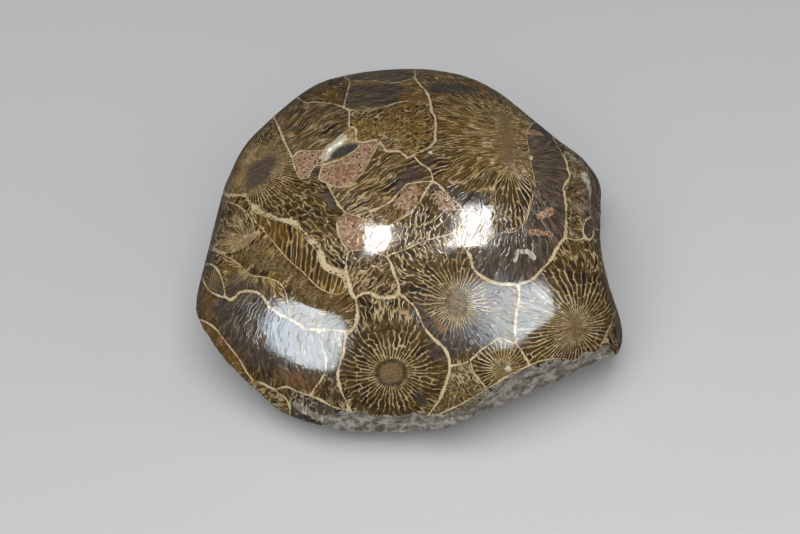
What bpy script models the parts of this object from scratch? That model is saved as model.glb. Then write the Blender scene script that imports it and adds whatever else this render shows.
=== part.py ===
"""A fossil coral head, ground and polished into a dome above its own broken rim and underside.

The stone is one piece. Its surface is described outwards from a point inside it, the heart: along
each direction, the stone ends at the nearest of the surfaces that shaped it. Those are the ground
dome, the flats that grinding left on it, and the rough breaks around the rim and underneath. Small
hollows are then let into that surface, and the stone is cut off flat where it stands.

Metres, +Z up, seen from -Y. The origin is below the middle of the stone, on its resting plane.
"""

import bmesh
import bpy
import numpy as np
from mathutils import Vector, noise

MM = 0.001

# The heart, at the level where the dome is widest.
HEART = np.array([0.07, -0.85, 9.0]) * MM

# The ground dome: a rounded body with its own half size each way from the heart.
HALF_WIDTH = 41.5 * MM
HALF_DEPTH = 40.0 * MM
CROWN_RISE = 25.5 * MM
UNDER_DROP = 16.0 * MM
FULLNESS = 2.1  # 2 is an ellipsoid, and more is boxier

# The flats that grinding left: the azimuth and elevation that each one faces, in degrees, and its
# distance from the heart. Azimuth 0 faces -Y, and 90 faces +X.
GROUND_FLATS = [
    (0, 12, 37.4 * MM),
    (15, 48, 31.5 * MM),
    (35, 8, 39.6 * MM),
    (92, 15, 33.5 * MM),
    (127, 38, 31.7 * MM),
    (152, 33, 34.9 * MM),
    (180, 35, 37.8 * MM),
    (-155, 30, 38.4 * MM),
    (-123, 27, 34.6 * MM),
    (-96, 17, 34.6 * MM),
    (-30, 12, 39.4 * MM),
    (-26, 34, 36.6 * MM),
]
GROUND_BLEND = 2.5 * MM

# The breaks around the rim and underneath, given in the same way.
BREAKS = [
    (0, -8, 37.6 * MM),
    (30, -14, 36.2 * MM),
    (0, -55, 25.8 * MM),
    (32, -55, 22.5 * MM),
    (65, -50, 28.8 * MM),
    (100, -50, 24.5 * MM),
    (140, -50, 24.0 * MM),
    (180, -50, 25.0 * MM),
    (-140, -45, 22.0 * MM),
    (-100, -50, 17.5 * MM),
    (-75, -50, 22.4 * MM),
    (-50, -50, 28.7 * MM),
    (-25, -55, 26.5 * MM),
]
BREAK_BLEND = 0.6 * MM
LUMP_DEPTH = 0.8 * MM
LUMP_SIZE = 7.0 * MM
GRIT_DEPTH = 0.35 * MM
GRIT_SIZE = 2.4 * MM

# Dents: azimuth and elevation from the heart, then radius and depth. Below zero, it stands out.
DENTS = [
    (99, 21, 10.0 * MM, -1.5 * MM),
    (86, 22, 4.0 * MM, 0.6 * MM),
    (92, 6, 19.0 * MM, 2.2 * MM),
    (-106, 18, 4.5 * MM, 0.9 * MM),
]

# The open vug in the crown, a slot with rounded ends. Its length runs level, along the heading.
VUG_AZIMUTH = -90
VUG_ELEVATION = 64.4
VUG_HEADING = 122
VUG_LENGTH = 6.0 * MM
VUG_WIDTH = 3.0 * MM
VUG_DEPTH = 2.2 * MM
VUG_STEEPNESS = 2.2  # 1 is a cone, and more has steeper walls and a flatter floor

SPHERE_STEPS = 7  # 81,920 faces, before they are thinned
KEPT_SHARE = 0.11
GROUND_SIZE = 0.2
FAR = 1.0  # further than any surface of the stone

STONE_COLOUR = (0.20, 0.125, 0.052, 1.0)
STONE_ROUGHNESS = 0.25


def facing(azimuth, elevation):
    """Unit vector along an azimuth and an elevation, in degrees."""
    turn = np.radians(azimuth)
    tilt = np.radians(elevation)
    return np.array([np.sin(turn) * np.cos(tilt), -np.cos(turn) * np.cos(tilt), np.sin(tilt)])


def soft_min(first, second, blend):
    """The smaller of two lengths, with a rounded change over where they are within the blend."""
    share = np.clip(0.5 + 0.5 * (second - first) / blend, 0.0, 1.0)
    return second * (1.0 - share) + first * share - blend * share * (1.0 - share)


def dome_reach(directions):
    """How far the rounded body reaches from the heart, along each direction."""
    rise = np.where(directions[:, 2] > 0.0, CROWN_RISE, UNDER_DROP)
    half_sizes = np.stack([np.full_like(rise, HALF_WIDTH), np.full_like(rise, HALF_DEPTH), rise], 1)
    total = np.sum(np.abs(directions / half_sizes) ** FULLNESS, axis=1)
    return total ** (-1.0 / FULLNESS)


def plane_reach(directions, azimuth, elevation, distance):
    """How far it is to a plane, along each direction."""
    towards = directions @ facing(azimuth, elevation)
    return np.minimum(distance / np.maximum(towards, distance / FAR), FAR)


def crumble(directions):
    """How far broken stone stands out from its break, or back from it, in lumps and finer grit."""
    depths = []
    for direction in directions:
        spot = Vector(direction) * HALF_WIDTH
        lump = noise.noise(spot / LUMP_SIZE)
        grit = noise.noise(spot / GRIT_SIZE)
        depths.append(LUMP_DEPTH * lump + GRIT_DEPTH * grit)
    return np.array(depths)


def let_in_dent(directions, reach, azimuth, elevation, radius, depth):
    """Push a round dent into the surface, deepest in its middle."""
    middle = facing(azimuth, elevation)
    nearest = np.argmax(directions @ middle)
    centre = directions[nearest] * reach[nearest]
    distance = np.linalg.norm(directions * reach[:, None] - centre, axis=1)
    fall = np.clip(1.0 - (distance / radius) ** 2, 0.0, 1.0) ** 2
    return reach - depth * fall


def let_in_vug(directions, reach):
    """Push the open vug into the surface."""
    middle = facing(VUG_AZIMUTH, VUG_ELEVATION)
    nearest = np.argmax(directions @ middle)
    offset = directions * reach[:, None] - directions[nearest] * reach[nearest]
    lengthwise = facing(VUG_HEADING, 0)
    along = offset @ lengthwise
    across = offset @ np.cross(middle, lengthwise)
    distance = np.sqrt((2.0 * along / VUG_LENGTH) ** 2 + (2.0 * across / VUG_WIDTH) ** 2)
    fall = np.clip(VUG_STEEPNESS * (1.0 - distance), 0.0, 1.0)
    return reach - VUG_DEPTH * fall * (directions @ middle > 0.0)


def stone_reach(directions):
    """How far the stone reaches from the heart, along each direction."""
    reach = dome_reach(directions)
    for azimuth, elevation, distance in GROUND_FLATS:
        flat = plane_reach(directions, azimuth, elevation, distance)
        reach = soft_min(reach, flat, GROUND_BLEND)
    broken = np.full_like(reach, FAR)
    for azimuth, elevation, distance in BREAKS:
        face = plane_reach(directions, azimuth, elevation, distance)
        broken = soft_min(broken, face, BREAK_BLEND)
    reach = np.minimum(reach, broken + crumble(directions))
    for azimuth, elevation, radius, depth in DENTS:
        reach = let_in_dent(directions, reach, azimuth, elevation, radius, depth)
    return let_in_vug(directions, reach)


def make_material():
    """Polished brown limestone."""
    material = bpy.data.materials.new("polished_coral")
    material.use_nodes = True
    shader = material.node_tree.nodes["Principled BSDF"]
    shader.inputs["Base Color"].default_value = STONE_COLOUR
    shader.inputs["Roughness"].default_value = STONE_ROUGHNESS
    shader.inputs["Metallic"].default_value = 0.0
    return material


def make_ground():
    """The block that cuts the stone off at its resting plane."""
    mesh = bmesh.new()
    bmesh.ops.create_cube(mesh, size=GROUND_SIZE)
    data = bpy.data.meshes.new("ground")
    mesh.to_mesh(data)
    mesh.free()
    ground = bpy.data.objects.new("ground", data)
    ground.location = (0.0, 0.0, -GROUND_SIZE / 2)
    ground.hide_render = True
    ground.display_type = "WIRE"
    bpy.context.collection.objects.link(ground)
    return ground


def make_stone(ground):
    """The whole stone: a fine ball pushed out to the surface, thinned, and cut off flat."""
    mesh = bmesh.new()
    bmesh.ops.create_icosphere(mesh, subdivisions=SPHERE_STEPS, radius=1.0)
    directions = np.array([vertex.co.normalized() for vertex in mesh.verts])
    spots = HEART + directions * stone_reach(directions)[:, None]
    for vertex, spot in zip(mesh.verts, spots):
        vertex.co = spot
    data = bpy.data.meshes.new("coral_head")
    mesh.to_mesh(data)
    mesh.free()
    data.shade_smooth()
    data.materials.append(make_material())
    stone = bpy.data.objects.new("coral_head", data)
    bpy.context.collection.objects.link(stone)
    thin = stone.modifiers.new("thin", "DECIMATE")
    thin.ratio = KEPT_SHARE
    cut = stone.modifiers.new("cut_flat", "BOOLEAN")
    cut.operation = "DIFFERENCE"
    cut.object = ground
    return stone


for old in list(bpy.data.objects):
    bpy.data.objects.remove(old, do_unlink=True)

make_stone(make_ground())
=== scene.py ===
"""The looks of the fossil coral head: a polished dome of coral cells, on its broken stone.

The stone's shape is worked out here as in the part's source, on a finer mesh. The outlines of the coral
cells that the photograph shows are named lines in its pixels. Each pixel is carried along its line of
sight onto the stone, so the cells lie on the surface and look right from any side. The cells that the
photograph hides are made up. Every face knows its cell, and the material draws the cell's septa, pores,
core and wall from that.

Metres, +Z up, seen from -Y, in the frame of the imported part.
"""

import math
import random

import bpy
import numpy as np
from mathutils import Matrix, Quaternion, Vector, noise
from mathutils.bvhtree import BVHTree


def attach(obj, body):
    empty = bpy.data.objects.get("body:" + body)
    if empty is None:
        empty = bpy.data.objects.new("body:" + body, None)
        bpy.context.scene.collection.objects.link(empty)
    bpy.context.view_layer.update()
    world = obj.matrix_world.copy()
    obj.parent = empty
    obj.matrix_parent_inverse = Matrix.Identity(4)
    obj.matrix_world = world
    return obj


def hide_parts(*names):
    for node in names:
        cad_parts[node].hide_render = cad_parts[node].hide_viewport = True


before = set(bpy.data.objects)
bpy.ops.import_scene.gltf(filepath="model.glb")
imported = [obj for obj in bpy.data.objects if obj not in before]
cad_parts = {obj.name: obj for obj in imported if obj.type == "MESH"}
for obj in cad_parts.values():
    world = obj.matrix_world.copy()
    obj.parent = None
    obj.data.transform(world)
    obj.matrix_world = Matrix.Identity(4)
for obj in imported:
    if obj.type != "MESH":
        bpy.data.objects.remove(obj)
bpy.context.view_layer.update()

MM = 0.001

# ---------------------------------------------------------------- the camera, at the photograph's angle

PHOTO_WIDTH = 800
PHOTO_HEIGHT = 534
LENS = 100.0
SENSOR = 36.0
CAMERA_ELEVATION = 44.5
CAMERA_DISTANCE = 396.4 * MM
CAMERA_TARGET = np.array([0.57, -0.85, 0.0]) * MM
TARGET_PIXEL = (415.0, 291.5)
FOCAL_PIXELS = PHOTO_WIDTH * LENS / SENSOR

# ---------------------------------------------------------------- the stone's shape, as in the part

HEART = np.array([0.07, -0.85, 9.0]) * MM
HALF_WIDTH = 41.5 * MM
HALF_DEPTH = 40.0 * MM
CROWN_RISE = 25.5 * MM
UNDER_DROP = 16.0 * MM
FULLNESS = 2.1
GROUND_FLATS = [
    (0, 12, 37.4 * MM),
    (15, 48, 31.5 * MM),
    (35, 8, 39.6 * MM),
    (92, 15, 33.5 * MM),
    (127, 38, 31.7 * MM),
    (152, 33, 34.9 * MM),
    (180, 35, 37.8 * MM),
    (-155, 30, 38.4 * MM),
    (-123, 27, 34.6 * MM),
    (-96, 17, 34.6 * MM),
    (-30, 12, 39.4 * MM),
    (-26, 34, 36.6 * MM),
]
GROUND_BLEND = 2.5 * MM
BREAKS = [
    (0, -8, 37.6 * MM),
    (30, -14, 36.2 * MM),
    (0, -55, 25.8 * MM),
    (32, -55, 22.5 * MM),
    (65, -50, 28.8 * MM),
    (100, -50, 24.5 * MM),
    (140, -50, 24.0 * MM),
    (180, -50, 25.0 * MM),
    (-140, -45, 22.0 * MM),
    (-100, -50, 17.5 * MM),
    (-75, -50, 22.4 * MM),
    (-50, -50, 28.7 * MM),
    (-25, -55, 26.5 * MM),
]
BREAK_BLEND = 0.6 * MM
LUMP_DEPTH = 0.8 * MM
LUMP_SIZE = 7.0 * MM
GRIT_DEPTH = 0.35 * MM
GRIT_SIZE = 2.4 * MM
DENTS = [
    (99, 21, 10.0 * MM, -1.5 * MM),
    (86, 22, 4.0 * MM, 0.6 * MM),
    (92, 6, 19.0 * MM, 2.2 * MM),
    (-106, 18, 4.5 * MM, 0.9 * MM),
]
VUG_AZIMUTH = -90
VUG_ELEVATION = 64.4
VUG_HEADING = 122
VUG_LENGTH = 6.0 * MM
VUG_WIDTH = 3.0 * MM
VUG_DEPTH = 2.2 * MM
VUG_STEEPNESS = 2.2
FAR = 1.0

# Finer than the part: crumbs on the broken stone, which the coarse solid can't carry.
CRUMB_DEPTH = 0.16 * MM
CRUMB_SIZE = 0.9 * MM
BALL_STEPS = 128  # quads along each of the six sides of the ball

# ---------------------------------------------------------------- the cells' walls, in photo pixels

# Each wall: its width in mm, then its points. Points off the stone lie round its horizon.
WALLS = {
    "crown_top": (0.40, [(414, 56), (415, 69), (415, 78)]),
    "crown_right": (0.45, [(415, 78), (419, 84), (427, 93), (431, 105)]),
    "olive_right": (0.45, [(431, 105), (431, 110), (435, 117), (436, 124), (435, 134), (435, 141), (430, 147)]),
    "olive_foot": (0.50, [(430, 147), (420, 152), (413, 155)]),
    "olive_hem": (0.45, [(413, 155), (407, 158), (404, 154), (399, 151), (387, 151), (383, 146), (379, 141)]),
    "olive_toe": (0.40, [(379, 141), (374, 140), (365, 142), (358, 142), (356, 140)]),
    "cream_line": (0.35, [(350, 81), (361, 81), (376, 81), (390, 83), (403, 81), (415, 78)]),
    "top_edge": (0.30, [(338, 58), (343, 74), (350, 81)]),
    "grey_left": (0.40, [(350, 81), (348, 90), (345, 101), (344, 108)]),
    "olive_top": (0.25, [(344, 108), (359, 111), (373, 109), (387, 106), (400, 102), (415, 102), (431, 105)]),
    "feather_top": (0.30, [(285, 88), (304, 102), (313, 102), (334, 104), (344, 108)]),
    "feather_right": (0.35, [(344, 108), (349, 111), (349, 127), (353, 127)]),
    "vug_top": (0.40, [(353, 127), (346, 131), (338, 138), (327, 146)]),
    "vug_right": (0.40, [(353, 127), (356, 129), (356, 140)]),
    "vug_corner": (0.35, [(356, 140), (359, 146), (354, 151)]),
    "vug_foot": (0.45, [(354, 151), (341, 159), (331, 162), (323, 165)]),
    "vug_left": (0.20, [(327, 146), (323, 160), (323, 165)]),
    "pink_top": (0.35, [(292, 158), (300, 151), (312, 151), (325, 150), (327, 146)]),
    "pink_left": (0.30, [(292, 158), (294, 166), (297, 173), (301, 179), (309, 177)]),
    "pink_foot": (0.20, [(309, 177), (311, 171), (316, 166), (323, 165)]),
    "rose_left": (0.25, [(323, 165), (321, 171), (319, 179), (327, 183)]),
    "rose_foot": (0.15, [(327, 183), (333, 186), (340, 187), (354, 181), (364, 171), (370, 159), (376, 149), (379, 141)]),
    "comb_right": (0.40, [(262, 106), (274, 118), (281, 133), (284, 141), (290, 153), (292, 158)]),
    "comb_edge": (0.40, [(327, 183), (330, 189), (334, 197), (340, 207), (346, 213)]),
    "comb_corner": (0.35, [(346, 213), (337, 222), (341, 240), (348, 251)]),
    "main": (0.85, [(205, 186), (223, 193), (229, 195), (237, 195), (245, 196), (250, 203), (259, 210), (270, 215),
                    (279, 219), (290, 220), (296, 224), (303, 231), (311, 240), (319, 247), (322, 256), (324, 264),
                    (333, 269), (344, 273), (348, 277)]),
    "short": (0.35, [(348, 251), (347, 258), (346, 264), (347, 271), (348, 277)]),
    "main_low": (0.60, [(348, 277), (350, 288), (351, 293), (356, 298)]),
    "main_turn": (0.50, [(356, 298), (357, 310), (357, 321), (353, 329), (347, 332)]),
    "main_foot": (0.50, [(347, 332), (344, 344), (344, 351), (340, 363), (338, 373), (339, 384), (342, 393),
                         (346, 401), (349, 409), (353, 417)]),
    "beads_upper": (0.40, [(407, 184), (400, 191), (391, 201), (381, 207), (370, 211), (355, 216)]),
    "beads_end": (0.35, [(355, 216), (346, 213)]),
    "beads_lower": (0.35, [(433, 181), (427, 189), (423, 196), (420, 201), (414, 209), (406, 216), (396, 221), (389, 227)]),
    "stream_right": (0.25, [(413, 155), (420, 163), (430, 170), (433, 181)]),
    "stream_foot": (0.20, [(433, 181), (420, 182), (407, 184)]),
    "lens_foot": (0.15, [(355, 216), (375, 222), (389, 227)]),
    "slope": (0.40, [(433, 181), (440, 186), (450, 197), (461, 207), (464, 220), (454, 233)]),
    "thin_line": (0.25, [(386, 256), (406, 249), (424, 241), (439, 237), (454, 233)]),
    "rose_right": (0.15, [(389, 227), (392, 240), (386, 256)]),
    "rose_hem": (0.25, [(348, 251), (365, 250), (386, 256)]),
    "arc_start": (0.45, [(454, 233), (466, 249)]),
    "arc_left": (0.50, [(466, 249), (471, 258), (473, 268), (487, 280), (500, 284), (519, 285)]),
    "arc_right": (0.50, [(519, 285), (533, 279), (541, 270), (551, 260), (557, 248), (565, 238)]),
    "arc_up": (0.50, [(565, 238), (566, 229), (566, 217), (566, 203), (564, 193), (564, 186), (570, 176), (568, 170),
                      (566, 160), (560, 150), (554, 139), (546, 118)]),
    "strip_foot": (0.20, [(565, 238), (576, 240), (585, 238)]),
    "oval_low": (0.45, [(585, 238), (590, 240), (593, 236), (594, 229)]),
    "oval_high": (0.40, [(585, 238), (583, 229), (586, 220), (590, 217), (593, 221), (594, 229)]),
    "oval_tail": (0.30, [(594, 229), (622, 232)]),
    "flow_right": (0.45, [(399, 293), (398, 283), (393, 271), (391, 263), (386, 256)]),
    "flow_foot": (0.50, [(356, 298), (364, 293), (371, 293), (377, 297), (384, 298), (396, 296), (399, 293)]),
    "disc_right": (0.40, [(399, 293), (406, 299), (414, 306), (419, 316), (424, 327), (431, 336), (440, 344),
                          (446, 351), (449, 359), (450, 366)]),
    "disc_low": (0.45, [(450, 366), (449, 374), (445, 386), (440, 399), (433, 409), (424, 421)]),
    "disc_foot": (0.45, [(353, 417), (369, 420), (383, 423), (400, 424), (412, 424), (424, 421)]),
    "small_left": (0.40, [(470, 361), (480, 351), (490, 344), (500, 338)]),
    "small_right": (0.35, [(500, 338), (514, 343), (517, 344)]),
    "middle": (0.40, [(519, 285), (519, 299), (516, 316), (515, 330), (517, 344)]),
    "small_edge": (0.35, [(517, 344), (523, 354), (530, 365)]),
    "low_top": (0.30, [(450, 366), (462, 364), (470, 361)]),
    "low_right": (0.35, [(470, 361), (474, 373), (483, 384), (487, 389)]),
    "rim_small": (0.35, [(487, 389), (508, 376), (530, 365)]),
    "rim_low": (0.35, [(424, 421), (444, 412), (465, 402), (487, 389)]),
    "rim_right": (0.35, [(530, 365), (540, 361), (551, 359), (566, 359), (575, 365), (592, 376)]),
    "rim_split": (0.40, [(424, 421), (428, 440)]),
    "edge_inner": (0.35, [(632, 296), (616, 310), (611, 324), (603, 341), (599, 353), (606, 372)]),
    "oval_right": (0.35, [(202, 266), (210, 264), (217, 269), (221, 277), (224, 287), (225, 297)]),
    "oval_left": (0.35, [(202, 266), (200, 272), (202, 277), (206, 286), (210, 291), (219, 296), (225, 297)]),
    "left_split": (0.30, [(185, 258), (202, 266)]),
    "dark_top": (0.50, [(225, 297), (231, 300), (236, 296), (241, 292), (253, 291), (260, 294), (266, 301), (271, 308),
                        (279, 314), (290, 319)]),
    "dark_mid": (0.50, [(290, 319), (299, 324), (304, 329), (319, 330)]),
    "apron_top": (0.22, [(187, 242), (209, 249), (226, 256), (240, 265), (251, 275), (263, 277), (278, 282),
                         (286, 294), (290, 319)]),
    "sheaf_top": (0.12, [(207, 197), (222, 201), (238, 206), (250, 218), (257, 236)]),
    "sheaf_foot": (0.12, [(257, 236), (243, 248), (226, 252), (209, 243), (201, 222), (207, 197)]),
    "curtain_top": (0.15, [(250, 209), (259, 214), (270, 219), (290, 224), (303, 236), (317, 252), (323, 268),
                           (343, 278)]),
    "curtain_foot": (0.15, [(343, 278), (345, 291), (334, 294), (318, 287), (304, 273), (291, 262), (279, 249), (267, 234),
                            (256, 222), (250, 209)]),
    "dusk_edge": (0.15, [(546, 118), (535, 122), (527, 132), (528, 145), (530, 160), (533, 172), (535, 187), (532, 200),
                         (529, 212), (524, 224), (514, 232), (504, 232), (495, 236), (484, 244), (466, 249)]),
    "fan_left": (0.15, [(509, 166), (501, 172), (496, 184), (495, 196), (497, 210), (501, 222), (507, 229)]),
    "fan_right": (0.15, [(507, 229), (519, 227), (525, 218), (529, 206), (531, 195), (529, 182), (522, 173), (509, 166)]),
    "dark_end": (0.50, [(319, 330), (333, 330), (347, 332)]),
    "branch": (0.30, [(319, 330), (321, 344), (326, 359), (324, 375), (315, 388), (311, 396)]),
    "foot_left": (0.40, [(253, 380), (264, 384)]),
    "foot_middle": (0.40, [(264, 384), (274, 389), (287, 387), (296, 391), (311, 396)]),
    "foot_right": (0.40, [(311, 396), (321, 400), (331, 406), (341, 409), (349, 411), (353, 417)]),
    "left_rim": (0.35, [(188, 318), (204, 321), (216, 329), (221, 336), (239, 359), (247, 373), (253, 380)]),
    "foot_split": (0.40, [(264, 384), (276, 391), (284, 397), (289, 404), (290, 414), (288, 432)]),
    "foot_end": (0.30, [(353, 417), (354, 431), (354, 447)]),
    "foot_start": (0.30, [(253, 380), (244, 394)]),
    "out_top": (0.40, [(338, 58), (375, 50), (414, 56)]),
    "out_top_left": (0.40, [(338, 58), (305, 70), (285, 88)]),
    "out_feather": (0.40, [(285, 88), (272, 96), (262, 106)]),
    "out_comb": (0.40, [(262, 106), (230, 135), (207, 165), (205, 186)]),
    "out_main": (0.40, [(205, 186), (190, 225), (187, 242)]),
    "out_apron": (0.40, [(187, 242), (185, 258)]),
    "out_dark": (0.40, [(185, 258), (180, 290), (188, 318)]),
    "out_left_rim": (0.40, [(188, 318), (205, 345), (225, 372), (244, 394)]),
    "out_foot_left": (0.40, [(244, 394), (262, 415), (288, 432)]),
    "out_foot_right": (0.40, [(288, 432), (320, 445), (354, 447)]),
    "out_disc": (0.40, [(354, 447), (390, 450), (428, 440)]),
    "out_rim": (0.40, [(428, 440), (470, 430), (515, 408), (560, 392), (592, 376)]),
    "out_corner": (0.40, [(592, 376), (606, 372)]),
    "out_edge": (0.40, [(606, 372), (640, 345), (645, 320), (632, 296)]),
    "out_right": (0.40, [(632, 296), (628, 270), (622, 232)]),
    "out_strip": (0.40, [(622, 232), (612, 170), (580, 140), (546, 118)]),
    "out_stripe": (0.40, [(414, 56), (450, 58), (490, 75), (525, 98), (546, 118)]),
}

# What a cell shows when nothing else is said. Lengths are in mm.
PLAIN_CELL = {
    "inner": "",  # walls of the cells that lie inside this one
    "core_end": None,  # the far end of a long core, in photo pixels
    "core_size": 0.5,  # radius of the speckled core
    "septa": 44,
    "pore": 1.5,  # length of a pore
    "tidy": 5.0,  # how far from the core the septa stay straight and regular
    "fringe": 60.0,  # how far in from the wall the septa show, before the plain middle
    "dark": 0.0,
    "pink": 0.0,
    "ochre": 0.3,
    "pale": 0.0,
    "close": 0.0,  # the share of pores that are filled
    "ring": 0.0,  # how dark the ring round the core is
}


def cell(walls, core, **changes):
    """One coral cell: the walls round it, its core's place in the photograph, and how it looks."""
    return {**PLAIN_CELL, "walls": walls.split(), "core": core, **changes}


CELLS = {
    "top": cell("crown_top cream_line top_edge out_top", (230, 84), septa=260, pore=4.0, tidy=0, dark=0.55, ochre=0.2, close=0.3),
    "top_left": cell("top_edge grey_left feather_top out_top_left", (240, 170), septa=300, pore=2.5, tidy=0, dark=0.1, ochre=0.6, close=0.5),
    "grey": cell("cream_line crown_right olive_top grey_left", (250, 110), septa=190, pore=3.5, tidy=0, dark=0.1, ochre=0.7, close=0.6),
    "olive": cell("olive_top olive_right olive_foot olive_hem olive_toe vug_right feather_right", (300, 190), septa=200, pore=1.3, tidy=0, dark=0.15, ochre=0.9, close=0.35),
    "feather": cell("comb_right pink_top vug_top feather_right feather_top out_feather", (205, 215), septa=230, pore=5, tidy=0, dark=0.45, ochre=0.8, close=0.15),
    "vug": cell("vug_top vug_right vug_corner vug_foot vug_left", (340, 150), pale=0, close=0.9, ochre=0.7, septa=80),
    "pink": cell("pink_top vug_left pink_foot pink_left", (240, 200), septa=140, pink=1.0, close=0.8),
    "rose": cell("olive_toe vug_corner vug_foot rose_left rose_foot", (300, 220), septa=140, pink=1.0, close=0.8),
    "comb": cell("comb_right pink_left pink_foot rose_left comb_edge comb_corner short main out_comb", (246, 165), core_end=(256, 176), septa=100, core_size=1.0, pore=1.7, tidy=9, dark=0.0, ochre=0.35),
    "stream": cell("olive_hem stream_right stream_foot beads_upper beads_end comb_edge rose_foot", (255, 265), septa=220, pore=5, tidy=0, dark=0.25, ochre=0.45, close=0.2),
    "lens": cell("stream_foot beads_lower lens_foot beads_upper", (330, 275), septa=120, pore=1.6, tidy=0, pink=0.3, ochre=0.5, close=0.4),
    "blush": cell("beads_end lens_foot rose_right rose_hem comb_corner", (300, 300), septa=120, pink=0.9, ochre=0.4, close=0.7),
    "centre": cell("beads_lower slope thin_line rose_right", (385, 330), septa=150, pore=2.2, tidy=0, dark=0.15, pink=0.1, ochre=0.4, close=0.1),
    "flow": cell("rose_hem flow_right flow_foot main_low short", (310, 340), septa=120, pore=2.6, tidy=0, dark=0.2, pink=0.33, ochre=0.3, close=0.2),
    "bright_fan": cell("fan_left fan_right", (509, 168), septa=42, core_size=0.8, pore=6, tidy=12, ochre=0.35),
    "stripe": cell("crown_top crown_right olive_right olive_foot stream_right slope arc_start dusk_edge out_stripe",
                   (503, 112), core_end=(509, 168), septa=110, core_size=1.3, pore=4.5, tidy=1.5, ochre=0.45, close=0.35),
    "dusk": cell("dusk_edge arc_left arc_right arc_up", (507, 140), core_end=(512, 196), septa=150, pore=4.0, tidy=0, dark=0.95,
                 ochre=0.3, close=0.3),
    # Partly painted light: the strip's pale share and filled pores make it lighter than its own colour, to make up for
    # the light its steep right side lacks.
    "strip": cell("arc_up strip_foot oval_high oval_tail out_strip", (660, 215), septa=220, pore=1.0, tidy=0, ochre=0.4, close=0.5, pale=0.38),
    "bead": cell("oval_high oval_low", (596, 229), dark=0.8, close=0.7),
    "wavy": cell("arc_right strip_foot oval_low oval_tail out_right edge_inner out_corner rim_right small_edge middle", (574, 317), core_end=(574, 337), septa=56, core_size=0.9, pore=2.2, tidy=8, ochre=0.25, dark=0.1, ring=0.2, close=0.2),
    "edge": cell("edge_inner out_edge", (574, 327), septa=60, pore=2.2, dark=0.25, ochre=0.3),
    "fan": cell("thin_line arc_start arc_left middle small_right small_left low_top disc_right flow_right", (455, 294), core_end=(459, 312), septa=50, core_size=1.2, pore=2.0, tidy=5, ochre=0.35, ring=0.6),
    "disc": cell("flow_foot disc_right disc_low disc_foot main_foot main_turn", (391, 373), septa=46, core_size=1.95, pore=2.0, tidy=6, ochre=0.25, ring=1),
    "small": cell("small_left small_right small_edge rim_small low_right", (503, 370), septa=38, core_size=0.7, pore=1.5, tidy=5, ochre=0.35, ring=0.5),
    "low": cell("low_top low_right rim_low disc_low", (445, 350), septa=80, core_size=0.5, pore=1.2, tidy=0, ochre=0.3, close=0.8, dark=0.4),
    "curtain": cell("curtain_top curtain_foot", (285, 430), septa=210, pore=6.0, tidy=60, ochre=0.8, close=0.0),
    "sheaf": cell("sheaf_top sheaf_foot", (250, 240), septa=54, core_size=0.3, pore=5, tidy=1, dark=0.36, ochre=0.3,
                  close=0.4),
    "hanging": cell("main main_low main_turn dark_end dark_mid apron_top out_main", (285, 400), septa=130, core_size=1.5, pore=3.2, tidy=1, fringe=2.6, ochre=0.7, dark=0.05, close=-0.1, inner="curtain_top curtain_foot sheaf_top sheaf_foot"),
    "apron": cell("apron_top dark_top oval_right left_split out_apron", (262, 255), septa=70, pore=2.4, tidy=0, fringe=3.0, ochre=0.4, close=0.1),
    "pip": cell("oval_right oval_left", (212, 280), core_end=(216, 286), septa=20, pore=0.8, dark=0.35, close=0.4),
    "dark": cell("dark_top dark_mid branch foot_middle foot_left left_rim out_dark left_split oval_left", (268, 235), septa=150, core_size=0.3, pore=3.5, tidy=0, dark=0.45, ochre=0.3, close=0.3),
    "hair": cell("dark_end main_foot foot_right branch", (335, 280), septa=110, pore=2.2, tidy=0, dark=0.4, ochre=0.2),
    "foot_left": cell("foot_split out_foot_left foot_start foot_left", (230, 350), septa=150, pore=1.6, tidy=0, dark=0.3, ochre=0.6),
    "foot_right": cell("foot_middle foot_right foot_end out_foot_right foot_split", (340, 340), septa=90, pore=1.2, tidy=0, dark=0.45, pale=0.3),
    "left_rim": cell("left_rim foot_start out_left_rim", (260, 330), septa=110, pore=1.0, dark=0.2, ochre=0.8, close=0.5),
    "disc_rim": cell("disc_foot rim_split out_disc foot_end", (391, 300), septa=100, pore=1.2, tidy=0, dark=0.4, pale=0.3, close=0.5),
    "rim": cell("rim_low rim_small rim_right out_rim rim_split", (460, 300), septa=150, pore=1.2, tidy=0, pale=0.6, close=0.6),
}


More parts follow.
